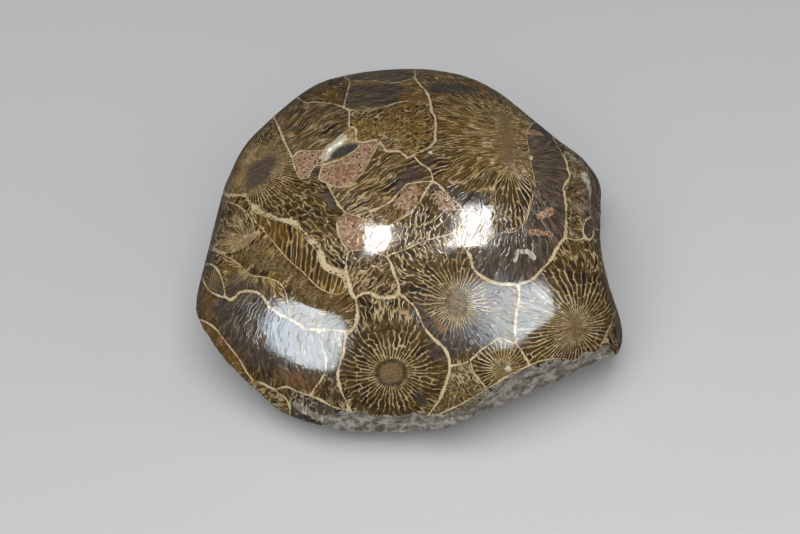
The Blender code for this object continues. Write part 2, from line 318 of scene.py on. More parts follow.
# Stains across the cells: from one photo pixel to another, and how far to each side in mm.
STAINS = {
    "rust": [
        ((204, 300), (207, 318), 2.6),
        ((228, 344), (242, 360), 1.3),
        ((278, 374), (312, 384), 1.2),
        ((476, 84), (486, 92), 1.1),
        ((476, 272), (488, 279), 0.6),
        ((232, 160), (238, 172), 1.2),
        ((395, 92), (415, 98), 1.2),
        ((430, 320), (440, 328), 0.7),
    ],
    "dark": [
        ((243, 305), (262, 330), 4.2),
        ((440, 88), (468, 90), 2.0),
        ((445, 193), (478, 202), 1.6),
        ((357, 90), (390, 89), 2.0),
        ((356, 101), (384, 100), 2.0),
        ((440, 348), (486, 332), 1.8),
        ((416, 310), (432, 330), 0.9),
        ((256, 178), (266, 164), 2.2),
        ((401, 188), (412, 172), 0.8),
        ((206, 250), (212, 260), 1.2),
        ((428, 160), (424, 165), 0.8),
        ((312, 176), (316, 170), 0.6),
        ((326, 196), (334, 206), 0.8),
        ((418, 395), (424, 402), 0.6),
    ],
    "pink": [
        ((540, 216), (551, 211), 0.6),
        ((531, 232), (550, 234), 0.5),
        ((528, 132), (539, 133), 0.7),
        ((404, 204), (414, 192), 0.8),
        ((441, 196), (447, 206), 1.1),
    ],
    "pale": [
        ((587, 179), (590, 193), 1.4),
        ((325, 157), (333, 146), 0.8),
        ((333, 146), (343, 138), 0.7),
        ((298, 406), (330, 420), 0.9),
        ((515, 260), (518, 252), 0.35),
        ((518, 252), (528, 251), 0.35),
        ((528, 251), (534, 258), 0.35),
        ((430, 152), (431, 153), 0.35),
        ((507, 368), (509, 369), 0.35),
        ((531, 157), (531, 159), 0.3),
    ],
}

# ---------------------------------------------------------------- the stone's surface


def facing(azimuth, elevation):
    """Unit vector along an azimuth and an elevation, in degrees."""
    turn = np.radians(azimuth)
    tilt = np.radians(elevation)
    return np.array([np.sin(turn) * np.cos(tilt), -np.cos(turn) * np.cos(tilt), np.sin(tilt)])


def soft_min(first, second, blend):
    """The smaller of two lengths, with a rounded change over where they are within the blend."""
    share = np.clip(0.5 + 0.5 * (second - first) / blend, 0.0, 1.0)
    return second * (1.0 - share) + first * share - blend * share * (1.0 - share)


def dome_reach(directions):
    """How far the rounded body reaches from the heart, along each direction."""
    rise = np.where(directions[:, 2] > 0.0, CROWN_RISE, UNDER_DROP)
    half_sizes = np.stack([np.full_like(rise, HALF_WIDTH), np.full_like(rise, HALF_DEPTH), rise], 1)
    total = np.sum(np.abs(directions / half_sizes) ** FULLNESS, axis=1)
    return total ** (-1.0 / FULLNESS)


def plane_reach(directions, azimuth, elevation, distance):
    """How far it is to a plane, along each direction."""
    towards = directions @ facing(azimuth, elevation)
    return np.minimum(distance / np.maximum(towards, distance / FAR), FAR)


def noise_on_ball(directions, size):
    """Smooth noise of this size over the ball of the stone's half width."""
    scale = HALF_WIDTH / size
    return np.array([noise.noise(Vector(direction) * scale) for direction in directions])


def let_in_dent(directions, reach, azimuth, elevation, radius, depth):
    """Push a round dent into the surface, deepest in its middle."""
    middle = facing(azimuth, elevation)
    nearest = np.argmax(directions @ middle)
    centre = directions[nearest] * reach[nearest]
    distance = np.linalg.norm(directions * reach[:, None] - centre, axis=1)
    fall = np.clip(1.0 - (distance / radius) ** 2, 0.0, 1.0) ** 2
    return reach - depth * fall


def let_in_vug(directions, reach):
    """Push the open vug into the surface. Also gives how deep each place lies in it, from 0 to 1."""
    middle = facing(VUG_AZIMUTH, VUG_ELEVATION)
    nearest = np.argmax(directions @ middle)
    offset = directions * reach[:, None] - directions[nearest] * reach[nearest]
    lengthwise = facing(VUG_HEADING, 0)
    along = offset @ lengthwise
    across = offset @ np.cross(middle, lengthwise)
    distance = np.sqrt((2.0 * along / VUG_LENGTH) ** 2 + (2.0 * across / VUG_WIDTH) ** 2)
    fall = np.clip(VUG_STEEPNESS * (1.0 - distance), 0.0, 1.0) * (directions @ middle > 0.0)
    return reach - VUG_DEPTH * fall, fall


def stone_surface(directions):
    """How far the stone reaches along each direction, how broken it is there, and the vug's depth."""
    reach = dome_reach(directions)
    for azimuth, elevation, distance in GROUND_FLATS:
        flat = plane_reach(directions, azimuth, elevation, distance)
        reach = soft_min(reach, flat, GROUND_BLEND)
    broken = np.full_like(reach, FAR)
    for azimuth, elevation, distance in BREAKS:
        face = plane_reach(directions, azimuth, elevation, distance)
        broken = soft_min(broken, face, BREAK_BLEND)
    crumble = LUMP_DEPTH * noise_on_ball(directions, LUMP_SIZE)
    crumble += GRIT_DEPTH * noise_on_ball(directions, GRIT_SIZE)
    crumble += CRUMB_DEPTH * noise_on_ball(directions, CRUMB_SIZE)
    broken += crumble
    roughness = np.clip(0.5 + (reach - broken) / (0.5 * MM), 0.0, 1.0)
    reach = np.minimum(reach, broken)
    for azimuth, elevation, radius, depth in DENTS:
        reach = let_in_dent(directions, reach, azimuth, elevation, radius, depth)
    reach, vug = let_in_vug(directions, reach)
    resting = plane_reach(directions, 0, -90, HEART[2])
    roughness = np.where(resting < reach, 1.0, roughness)
    return np.minimum(reach, resting), roughness, vug


def make_ball(steps):
    """An even ball of quads: six square sides, pushed out to a radius of 1. Gives points and quads."""
    across = np.tan(np.linspace(-np.pi / 4, np.pi / 4, steps + 1))
    u, v = np.meshgrid(across, across, indexing="ij")
    one = np.ones_like(u)
    sides = [(one, u, v), (-one, v, u), (v, one, u), (u, -one, v), (u, v, one), (v, u, -one)]
    corner = np.arange(steps)[:, None] * (steps + 1) + np.arange(steps)[None, :]
    quad = np.stack([corner, corner + steps + 1, corner + steps + 2, corner + 1], -1).reshape(-1, 4)
    points = np.concatenate([np.stack(side, -1).reshape(-1, 3) for side in sides])
    quads = np.concatenate([quad + k * (steps + 1) ** 2 for k in range(len(sides))])
    points /= np.linalg.norm(points, axis=1)[:, None]
    keys, first, back = np.unique(np.round(points, 6), axis=0, return_index=True, return_inverse=True)
    return points[first], back.reshape(-1)[quads]


# ---------------------------------------------------------------- from photo pixels onto the stone

BACK = facing(0, CAMERA_ELEVATION)
RIGHT = np.array([1.0, 0.0, 0.0])
UP = np.cross(BACK, RIGHT)
EYE = CAMERA_TARGET + BACK * CAMERA_DISTANCE
MIDDLE_PIXEL = (410.0, 250.0)  # well inside the stone
PAST_HORIZON = math.radians(1.5)  # how far a pixel off the stone goes round it
LINE_STEP = 3.0  # pixels between the points along a wall


class Surface:
    """The stone's surface, with the ways from the photograph's pixels onto it."""

    def __init__(self, points, quads):
        self.tree = BVHTree.FromPolygons(points.tolist(), quads.tolist())

    def sight(self, pixel):
        """The direction in which the camera sees a pixel."""
        line = -BACK * FOCAL_PIXELS + RIGHT * (pixel[0] - TARGET_PIXEL[0]) - UP * (pixel[1] - TARGET_PIXEL[1])
        return line / np.linalg.norm(line)

    def seen_at(self, pixel):
        """The point of the stone that a pixel shows, or None."""
        hit = self.tree.ray_cast(Vector(EYE), Vector(self.sight(pixel)))[0]
        return None if hit is None else np.array(hit)

    def chart_at(self, pixel):
        """A pixel's place on the chart: its angle from the line of sight as seen from the heart."""
        hit = self.seen_at(pixel)
        if hit is not None:
            return chart_of((hit - HEART)[None, :])[0]
        inside = 0.0
        outside = 1.0
        middle = np.array(MIDDLE_PIXEL)
        for _ in range(12):
            share = 0.5 * (inside + outside)
            if self.seen_at(middle + share * (np.array(pixel) - middle)) is None:
                outside = share
            else:
                inside = share
        spot = chart_of((self.seen_at(middle + inside * (np.array(pixel) - middle)) - HEART)[None, :])[0]
        beyond = (1.0 - inside) * np.linalg.norm(np.array(pixel) - middle)
        return spot * (1.0 + PAST_HORIZON * beyond / np.linalg.norm(spot))

    def on_chart(self, spot):
        """The point of the stone at a place on the chart."""
        angle = np.linalg.norm(spot)
        aside = (RIGHT * spot[0] + UP * spot[1]) / max(angle, 1e-9)
        direction = BACK * math.cos(angle) + aside * math.sin(angle)
        return np.array(self.tree.ray_cast(Vector(HEART), Vector(direction))[0])


def chart_of(offsets):
    """Places on the chart of points given from the heart."""
    directions = offsets / np.linalg.norm(offsets, axis=1)[:, None]
    angle = np.arccos(np.clip(directions @ BACK, -1.0, 1.0))
    aside = np.stack([directions @ RIGHT, directions @ UP], 1)
    return aside * (angle / np.maximum(np.sin(angle), 1e-6))[:, None]


def smooth_line(pixels):
    """A smooth line through the pixels, with a point at every step."""
    pixels = np.array(pixels, float)
    ends = np.concatenate([2 * pixels[:1] - pixels[1:2], pixels, 2 * pixels[-1:] - pixels[-2:-1]])
    line = []
    for before, start, end, after in zip(ends, ends[1:], ends[2:], ends[3:]):
        count = max(1, int(np.linalg.norm(end - start) / LINE_STEP))
        for step in range(count):
            t = step / count
            bend = 2 * start + (end - before) * t + (2 * before - 5 * start + 4 * end - after) * t * t
            line.append(0.5 * (bend + (3 * start - before - 3 * end + after) * t ** 3))
    line.append(pixels[-1])
    return line


def join_walls(walls, lines):
    """The closed outline that walls make end to end, turning each one the right way round."""
    loop = list(lines[walls[0]])
    if np.linalg.norm(loop[-1] - lines[walls[1]][0]) > 1e-6 and np.linalg.norm(loop[-1] - lines[walls[1]][-1]) > 1e-6:
        loop.reverse()
    for name in walls[1:]:
        line = list(lines[name])
        if np.linalg.norm(line[0] - loop[-1]) > np.linalg.norm(line[-1] - loop[-1]):
            line.reverse()
        if np.linalg.norm(line[0] - loop[-1]) > 1e-6:
            raise ValueError(f"wall {name} doesn't join the one before it in {walls}")
        loop.extend(line[1:])
    if np.linalg.norm(loop[0] - loop[-1]) > 1e-6:
        raise ValueError(f"{walls} don't close")
    return np.array(loop)


def inside_loop(spots, loop):
    """Which spots lie inside a closed outline, on the chart."""
    inside = np.zeros(len(spots), bool)
    for start, end in zip(loop[:-1], loop[1:]):
        if start[1] == end[1]:
            continue
        between = (spots[:, 1] > min(start[1], end[1])) & (spots[:, 1] <= max(start[1], end[1]))
        crossing = start[0] + (spots[:, 1] - start[1]) / (end[1] - start[1]) * (end[0] - start[0])
        inside ^= between & (spots[:, 0] < crossing)
    return inside


def distance_to_line(points, line):
    """How far each point is from a line through space."""
    nearest = np.full(len(points), FAR)
    for start, end in zip(line[:-1], line[1:]):
        along = end - start
        share = np.clip((points - start) @ along / max(along @ along, 1e-12), 0.0, 1.0)
        nearest = np.minimum(nearest, np.linalg.norm(points - start - share[:, None] * along, axis=1))
    return nearest


# ---------------------------------------------------------------- the cells on the mesh

HIDDEN_CELLS = 34
HIDDEN_GAP = 11.0 * MM  # smallest distance between the middles of two hidden cells
HIDDEN_BEND = 1.6 * MM  # how far their walls wander
HIDDEN_BEND_SIZE = 9.0 * MM
WALL_WIDTH = 0.4  # mm; wall distances are given as if every wall were this wide


def hidden_middles(points, free):
    """Middles for the cells that the photograph hides, apart from each other."""
    draw = random.Random(11)
    spots = []
    order = np.flatnonzero(free)
    for _ in range(4000):
        spot = points[order[draw.randrange(len(order))]]
        if all(np.linalg.norm(spot - other) > HIDDEN_GAP for other in spots):
            spots.append(spot)
        if len(spots) == HIDDEN_CELLS:
            break
    return np.array(spots)


def hidden_cell(number):
    """How a hidden cell looks."""
    draw = random.Random(100 + number)
    looks = dict(PLAIN_CELL)
    looks["septa"] = draw.choice([36, 40, 44, 50])
    looks["core_size"] = draw.uniform(0.9, 2.0)
    looks["core_half"] = draw.choice([0.0, 0.0, 1.5, 3.0])
    looks["pore"] = draw.uniform(1.0, 1.8)
    looks["tidy"] = draw.uniform(2.0, 6.0)
    looks["ochre"] = draw.uniform(0.2, 0.6)
    looks["dark"] = draw.choice([0.0, 0.1, 0.5])
    looks["close"] = draw.uniform(0.0, 0.3)
    looks["turn"] = draw.uniform(0.0, 3.1)
    return looks


class CellMap:
    """Which cell owns each face, and each corner's place in its cell."""

    def __init__(self, points, quads):
        self.points = points
        self.quads = quads
        self.owner = np.full(len(quads), -1)
        self.looks = []
        self.place = np.zeros((len(quads), 4, 3))
        self.surface = Surface(points, quads)
        self.middles = points[quads].mean(1)
        self.face_spots = chart_of(self.middles - HEART)
        self.point_spots = chart_of(points - HEART)
        self.normals = self.face_normals()
        self.walled = np.full(len(points), FAR)
        self.taken = np.zeros(len(points), bool)
        self.add_seen_cells()
        self.add_hidden_cells()

    def face_normals(self):
        """The outward direction of each face."""
        corners = self.points[self.quads]
        normals = np.cross(corners[:, 2] - corners[:, 0], corners[:, 3] - corners[:, 1])
        return normals / np.linalg.norm(normals, axis=1)[:, None]

    def set_place(self, faces, origin, lengthwise, axis, wall):
        """Give the faces' corners their place in the cell, in mm: along its core, across it, from its wall."""
        across = np.cross(axis, lengthwise)
        offset = self.points[self.quads[faces]] - origin
        self.place[faces, :, 0] = offset @ lengthwise / MM
        self.place[faces, :, 1] = offset @ across / MM
        self.place[faces, :, 2] = wall[self.quads[faces]]

    def add_seen_cells(self):
        """The cells whose outlines the photograph shows."""
        charts = {}
        lines = {}
        for name, (width, pixels) in WALLS.items():
            chart = [self.surface.chart_at(pixel) for pixel in smooth_line(pixels)]
            charts[name] = chart
            lines[name] = np.array([self.surface.on_chart(spot) for spot in chart])
        for name, looks in CELLS.items():
            loop = join_walls(looks["walls"], charts)
            faces = np.flatnonzero(inside_loop(self.face_spots, loop) & (self.owner < 0))
            if len(faces) == 0:
                raise ValueError(f"cell {name} has no faces")
            self.owner[faces] = len(self.looks)
            inside = inside_loop(self.point_spots, loop) & ~self.taken
            wall = np.full(len(self.points), FAR / MM)
            near = np.unique(self.quads[faces])
            for wall_name in looks["walls"] + looks["inner"].split():
                distance = distance_to_line(self.points[near], lines[wall_name]) / MM
                wall[near] = np.minimum(wall[near], distance * WALL_WIDTH / WALLS[wall_name][0])
                self.walled[near] = np.minimum(self.walled[near], distance * MM)
            self.taken |= inside
            wall = np.where(inside, wall, -wall)
            axis = self.normals[faces].mean(0)
            axis /= np.linalg.norm(axis)
            origin, lengthwise, half = self.core_place(looks, self.middles[faces].mean(0), axis, loop)
            self.set_place(faces, origin, lengthwise, axis, wall)
            self.looks.append({**looks, "core_half": half})

    def core_place(self, looks, middle, axis, loop):
        """The core's middle, its direction and its half length, on the plane that touches the cell."""
        ends = []
        for pixel in (looks["core"], looks["core_end"] or looks["core"]):
            chart = self.surface.chart_at(pixel)
            if inside_loop(chart[None, :], loop)[0]:
                spot = self.surface.on_chart(chart)
                ends.append(spot - ((spot - middle) @ axis) * axis)
            else:
                sight = self.surface.sight(pixel)
                reach = ((middle - EYE) @ axis) / (sight @ axis)
                ends.append(EYE + sight * reach)
        along = ends[1] - ends[0]
        length = np.linalg.norm(along)
        if length < 1e-6:
            along = RIGHT - (RIGHT @ axis) * axis
        return 0.5 * (ends[0] + ends[1]), along / np.linalg.norm(along), 0.5 * length / MM

    def add_hidden_cells(self):
        """Cells of the same kind over the sides that the photograph hides."""
        free = self.owner < 0
        middles = hidden_middles(self.middles, free)
        bend = np.array([noise.noise_vector(Vector(point) / HIDDEN_BEND_SIZE) for point in self.points])
        bent = self.points + HIDDEN_BEND * bend
        squares = np.stack([np.sum((bent - middle) ** 2, axis=1) for middle in middles], 1)
        chosen = np.argmin(squares[self.quads].mean(1), axis=1)
        seen_wall = np.full(len(self.points), FAR)
        edge_points = np.unique(self.quads[free])
        for name, (_, pixels) in WALLS.items():
            if name.startswith("out_"):
                line = np.array([self.surface.on_chart(self.surface.chart_at(p)) for p in smooth_line(pixels)])
                distance = distance_to_line(self.points[edge_points], line)
                seen_wall[edge_points] = np.minimum(seen_wall[edge_points], distance)
        seen_wall = np.where(self.taken, -seen_wall, seen_wall)
        for number, middle in enumerate(middles):
            faces = np.flatnonzero(free & (chosen == number))
            if len(faces) == 0:
                continue
            apart = np.linalg.norm(middles - middle, axis=1)
            apart[number] = FAR
            wall = (squares - squares[:, number:number + 1]) / (2.0 * apart)
            wall[:, number] = FAR
            wall = np.minimum(wall.min(1), seen_wall) / MM
            looks = hidden_cell(number)
            axis = self.normals[faces].mean(0)
            axis /= np.linalg.norm(axis)
            aside = facing(90 * looks["turn"], 0)
            aside = aside - (aside @ axis) * axis
            self.owner[faces] = len(self.looks)
            self.set_place(faces, middle, aside / np.linalg.norm(aside), axis, wall)
            self.looks.append(looks)

    def stains(self, kind):
        """How strongly every point is stained, from 0 to 1."""
        strength = np.zeros(len(self.points))
        for start, end, radius in STAINS[kind]:
            line = np.array([self.surface.on_chart(self.surface.chart_at(pixel)) for pixel in (start, end)])
            distance = distance_to_line(self.points, line) / MM
            strength = np.maximum(strength, np.clip(1.3 - 0.7 * distance / radius, 0.0, 1.0))
        return strength

    def of_faces(self, *names):
        """One vector for each face, of these values of its cell."""
        table = np.array([[looks[name] for name in names] for looks in self.looks], float)
        return table[self.owner]


def add_attribute(data, name, kind, domain, values):
    """Keep values on the mesh, for the material."""
    attribute = data.attributes.new(name, kind, domain)
    field = "value" if kind == "FLOAT" else "vector"
    attribute.data.foreach_set(field, np.ascontiguousarray(values, np.float32).reshape(-1))


def make_stone(material):
    """The whole stone, with what the material needs to know at every place."""
    directions, quads = make_ball(BALL_STEPS)
    reach, broken, vug = stone_surface(directions)
    points = HEART + directions * reach[:, None]
    points[:, 2] = np.maximum(points[:, 2], 0.0)
    cells = CellMap(points, quads)
    data = bpy.data.meshes.new("coral_head_stone")
    data.from_pydata(points.tolist(), [], quads.tolist())
    data.shade_smooth()
    add_attribute(data, "place", "FLOAT_VECTOR", "CORNER", cells.place)
    add_attribute(data, "cell_core", "FLOAT_VECTOR", "FACE", cells.of_faces("septa", "core_half", "core_size"))
    add_attribute(data, "cell_grain", "FLOAT_VECTOR", "FACE", cells.of_faces("pore", "tidy", "fringe"))
    add_attribute(data, "cell_tint", "FLOAT_VECTOR", "FACE", cells.of_faces("dark", "pink", "ochre"))
    add_attribute(data, "cell_fill", "FLOAT_VECTOR", "FACE", cells.of_faces("pale", "close", "ring"))
    stains = {kind: cells.stains(kind) for kind in ("rust", "dark", "pink", "pale")}
    stain = np.stack([stains["rust"], stains["dark"], stains["pink"]], 1)
    add_attribute(data, "stain", "FLOAT_VECTOR", "POINT", stain)
    add_attribute(data, "state", "FLOAT_VECTOR", "POINT", np.stack([stains["pale"], broken, vug], 1))
    data.materials.append(material)
    stone = bpy.data.objects.new("coral_head_stone", data)
    bpy.context.collection.objects.link(stone)
    return stone


# ---------------------------------------------------------------- the material


class Nodes:
    """Short ways to add shader nodes. A value may be a number, a tuple or another node's output."""

    def __init__(self, tree):
        self.tree = tree

    def add(self, kind, **settings):
        node = self.tree.nodes.new(kind)
        for name, value in settings.items():
            setattr(node, name, value)
        return node

    def feed(self, socket, value):
        if isinstance(value, bpy.types.NodeSocket):
            self.tree.links.new(value, socket)
        else:
            socket.default_value = value

    def math(self, operation, *values, clamp=False):
        node = self.add("ShaderNodeMath", operation=operation, use_clamp=clamp)
        for socket, value in zip(node.inputs, values):
            self.feed(socket, value)
        return node.outputs[0]

    def plus(self, first, second):
        return self.math("ADD", first, second)

    def minus(self, first, second):
        return self.math("SUBTRACT", first, second)

    def times(self, first, second):
        return self.math("MULTIPLY", first, second)

    def ramp(self, value, start, end, low=0.0, high=1.0):
        """Smooth change from low to high as the value goes from start to end."""
        node = self.add("ShaderNodeMapRange", interpolation_type="SMOOTHSTEP")
        for socket, number in zip(node.inputs, (value, start, end, low, high)):
            self.feed(socket, number)
        return node.outputs[0]

    def mix(self, share, first, second):
        """A number between two numbers."""
        node = self.add("ShaderNodeMix", data_type="FLOAT", clamp_factor=True)
        for socket, value in zip(node.inputs, (share, None, first, second)):
            if value is not None:
                self.feed(socket, value)
        return node.outputs[0]

    def blend(self, share, first, second, kind="MIX"):
        """A colour between two colours."""
        node = self.add("ShaderNodeMix", data_type="RGBA", blend_type=kind, clamp_factor=True)
        self.feed(node.inputs[0], share)
        self.feed(node.inputs[6], first)
        self.feed(node.inputs[7], second)
        return node.outputs[2]

    def noise(self, where, size, detail=2.0, roughness=0.5):
        """Noise about 0.5, with features of this size in the units of where."""
        node = self.add("ShaderNodeTexNoise")
        self.feed(node.inputs["Vector"], where)
        self.feed(node.inputs["Scale"], 1.0 / size)
        self.feed(node.inputs["Detail"], detail)
        self.feed(node.inputs["Roughness"], roughness)
        return node

    def split(self, vector):
        node = self.add("ShaderNodeSeparateXYZ")
        self.feed(node.inputs[0], vector)
        return node.outputs

    def join(self, x, y, z=0.0):
        node = self.add("ShaderNodeCombineXYZ")
        for socket, value in zip(node.inputs, (x, y, z)):
            self.feed(socket, value)
        return node.outputs[0]

    def attribute(self, name):
        return self.add("ShaderNodeAttribute", attribute_name=name)


def rgb(red, green, blue):
    """A colour, with its full alpha."""
    return (red, green, blue, 1.0)


TAN = rgb(0.43, 0.315, 0.165)
YELLOW = rgb(0.38, 0.255, 0.085)
OCHRE = rgb(0.185, 0.098, 0.018)
PORE = rgb(0.020, 0.012, 0.004)
BROWN = rgb(0.062, 0.038, 0.013)
FILL = rgb(0.105, 0.067, 0.026)
PLAIN = rgb(0.170, 0.115, 0.052)
UMBER = rgb(0.120, 0.077, 0.030)
YELLOW_UMBER = rgb(0.145, 0.085, 0.020)
CORE_DARK = rgb(0.105, 0.070, 0.028)
CORE_LIGHT = rgb(0.24, 0.160, 0.075)
GREY = rgb(0.040, 0.028, 0.021)
GREY_PALE = rgb(0.088, 0.068, 0.053)
GREY_LINE = rgb(0.150, 0.108, 0.065)
RUST = rgb(0.085, 0.038, 0.013)
RUST_PALE = rgb(0.23, 0.115, 0.040)
PINK = rgb(0.215, 0.112, 0.055)
PINK_PALE = rgb(0.46, 0.30, 0.195)
# Near black, for the black dots and pits, and for the painted shade inside the vug.
BLACK_AND_VUG_SHADE = rgb(0.016, 0.013, 0.011)
CREAM = rgb(0.60, 0.50, 0.31)
CHALK = rgb(0.62, 0.60, 0.54)
BAND_DARK = rgb(0.105, 0.085, 0.045)
BAND_PALE = rgb(0.36, 0.34, 0.29)
ROUGH_STONE = rgb(0.46, 0.43, 0.37)
ROUGH_DARK = rgb(0.115, 0.098, 0.070)
PORE_SPACING = (0.85, 1.35)  # mm between septa where others come in between


class CoralPattern:
    """The places that the material draws from, in mm, and the masks of what lies there."""

    def __init__(self, n):
        self.n = n
        scaled = n.add("ShaderNodeVectorMath", operation="SCALE")
        n.feed(scaled.inputs[0], n.add("ShaderNodeTexCoord").outputs["Object"])
        scaled.inputs["Scale"].default_value = 1.0 / MM
        self.spot = scaled.outputs[0]
        self.x, self.y, self.edge = n.split(n.attribute("place").outputs["Vector"])
        self.septa, self.core_half, self.core_size = n.split(n.attribute("cell_core").outputs["Vector"])
        self.pore_length, self.tidy, self.fringe = n.split(n.attribute("cell_grain").outputs["Vector"])
        self.dark, self.pink, self.ochre = n.split(n.attribute("cell_tint").outputs["Vector"])
        self.pale, self.close, self.ring = n.split(n.attribute("cell_fill").outputs["Vector"])
        self.rust_spot, self.dark_spot, self.pink_spot = n.split(n.attribute("stain").outputs["Vector"])
        self.pale_spot, self.broken, self.vug = n.split(n.attribute("state").outputs["Vector"])
        self.drift = n.split(n.noise(self.spot, 3.2, detail=2).outputs["Color"])
        self.ripple = n.split(n.noise(self.spot, 0.8, detail=2).outputs["Color"])
        self.mottle = n.noise(self.spot, 0.5, detail=3, roughness=0.6).outputs["Fac"]
        self.speckle = n.noise(self.spot, 0.22, detail=2, roughness=0.7).outputs["Fac"]
        self.cloud = n.noise(self.spot, 5.0, detail=4, roughness=0.6).outputs["Fac"]
        self.patch = n.split(n.noise(self.spot, 2.0, detail=4, roughness=0.65).outputs["Color"])
        self.find_radius()
        self.find_pores()
        self.find_walls()

    def find_radius(self):
        """The distance from a long core, and how many septa round it a place lies."""
        n = self.n
        past = n.math("MAXIMUM", n.minus(n.math("ABSOLUTE", self.x), self.core_half), 0.0)
        raw = n.math("SQRT", n.plus(n.times(past, past), n.times(self.y, self.y)))
        calm = n.times(self.tidy, 0.5)
        loose = n.ramp(raw, calm, n.plus(calm, 4.0), 0.25, 1.0)
        ends = []
        moved = []
        for place, slow, fast in ((self.x, self.drift[0], self.ripple[0]), (self.y, self.drift[1], self.ripple[1])):
            push = n.plus(n.times(n.minus(slow, 0.5), 1.9), n.times(n.minus(fast, 0.5), 0.4))
            moved.append(n.plus(place, n.times(push, loose)))
        along, across = moved
        for end in (n.minus(along, self.core_half), n.plus(along, self.core_half)):
            ends.append(n.math("SQRT", n.plus(n.times(end, end), n.times(across, across))))
        long_radius = n.times(n.plus(ends[0], ends[1]), 0.5)
        square = n.minus(n.times(long_radius, long_radius), n.times(self.core_half, self.core_half))
        self.radius = n.math("SQRT", n.math("MAXIMUM", square, 0.0001))
        angle = n.math("ARCTAN2", n.times(across, long_radius), n.times(along, self.radius))
        self.turn = n.times(n.math("DIVIDE", angle, 2.0 * math.pi), self.septa)
        self.spacing = n.math("DIVIDE", n.times(long_radius, 2.0 * math.pi), self.septa)

    def pore_field(self, turn, order):
        """Long pores between septa: how far a place is from its pore's side, and the pore's own number."""
        n = self.n
        shift = n.add("ShaderNodeTexWhiteNoise", noise_dimensions="1D")
        n.feed(shift.inputs["W"], n.math("FLOOR", turn))
        outward = n.plus(n.math("DIVIDE", self.radius, self.pore_length), n.times(shift.outputs["Value"], 7.0))
        textures = []
        for feature in ("DISTANCE_TO_EDGE", "F1"):
            texture = n.add("ShaderNodeTexVoronoi", voronoi_dimensions="2D", feature=feature)
            n.feed(texture.inputs["Vector"], n.join(turn, outward))
            n.feed(texture.inputs["Scale"], 1.0)
            n.feed(texture.inputs["Randomness"], order)
            textures.append(texture)
        middle = n.split(textures[1].outputs["Position"])
        lengthwise = n.math("ABSOLUTE", n.minus(outward, middle[1]))
        beside = n.plus(textures[0].outputs["Distance"], n.ramp(lengthwise, 0.22, 0.50, 0.0, 0.045))
        across = n.math("ABSOLUTE", n.minus(n.math("FRACT", turn), 0.5))
        endways = n.math("ABSOLUTE", n.minus(n.math("FRACT", outward), 0.5))
        link = n.times(n.ramp(endways, 0.38, 0.50), n.ramp(self.patch[1], 0.42, 0.60, 0.16, 0.40))
        straight = n.minus(n.minus(0.5, across), link)
        return n.mix(self.order, straight, beside), n.split(textures[1].outputs["Color"])[0]

    def find_pores(self):
        """The septa, the pores between them, and how open each pore is."""
        n = self.n
        tidied = n.plus(self.radius, n.times(n.minus(self.drift[2], 0.5), 3.0))
        self.order = n.ramp(tidied, self.tidy, n.plus(self.tidy, 2.5))
        jumble = n.mix(self.order, 0.3, 0.95)
        wide = self.pore_field(self.turn, jumble)
        narrow = self.pore_field(n.times(self.turn, 2.0), jumble)
        crowded = n.ramp(self.spacing, *PORE_SPACING)
        gap = n.times(self.spacing, n.mix(crowded, 1.0, 0.5))
        self.side = n.times(n.mix(crowded, wide[0], narrow[0]), gap)
        self.kind = n.mix(crowded, wide[1], narrow[1])
        streaks = n.join(n.times(self.turn, 0.9), n.times(self.radius, 0.35))
        self.streak = n.noise(streaks, 1.0, detail=3, roughness=0.6).outputs["Fac"]
        half = n.ramp(n.plus(self.streak, n.times(n.minus(self.patch[0], 0.5), 0.8)), 0.3, 0.7, 0.012, 0.085)
        self.septum = n.ramp(self.side, n.minus(half, 0.02), n.plus(half, 0.06), 1.0, 0.0)
        self.halo = n.ramp(self.side, half, n.plus(half, 0.22), 1.0, 0.0)
        self.thread = n.ramp(n.times(narrow[0], n.times(self.spacing, 0.5)), 0.02, 0.10, 1.0, 0.0)
        self.wall = n.math("ABSOLUTE", n.plus(self.edge, n.times(n.minus(self.ripple[2], 0.5), 0.30)))
        reach = n.plus(self.wall, n.times(n.minus(self.cloud, 0.5), 3.0))
        self.in_fringe = n.ramp(reach, n.times(self.fringe, 0.5), self.fringe, 1.0, 0.0)
        openness = n.plus(self.kind, n.times(n.minus(self.drift[2], 0.5), 1.3))
        self.opened = n.ramp(openness, n.minus(self.close, 0.25), n.plus(self.close, 0.25))
        self.hollow = n.times(n.times(n.minus(1.0, self.septum), self.opened), self.in_fringe)

    def find_walls(self):
        """The walls between cells: a line that swells, thins and frays."""
        n = self.n
        swell = n.noise(self.spot, 2.6, detail=3, roughness=0.6).outputs["Fac"]
        fray = n.times(n.minus(n.noise(self.spot, 0.45, detail=2).outputs["Fac"], 0.5), 0.42)
        half = n.ramp(swell, 0.32, 0.68, 0.08, 0.28)
        line = n.plus(self.wall, fray)
        self.wall_line = n.ramp(line, n.minus(half, 0.06), n.plus(half, 0.06), 1.0, 0.0)
        self.wall_heart = n.ramp(line, n.minus(half, 0.18), half, 1.0, 0.0)
        self.wall_shade = n.ramp(line, half, n.plus(half, 0.35), 0.40, 0.0)


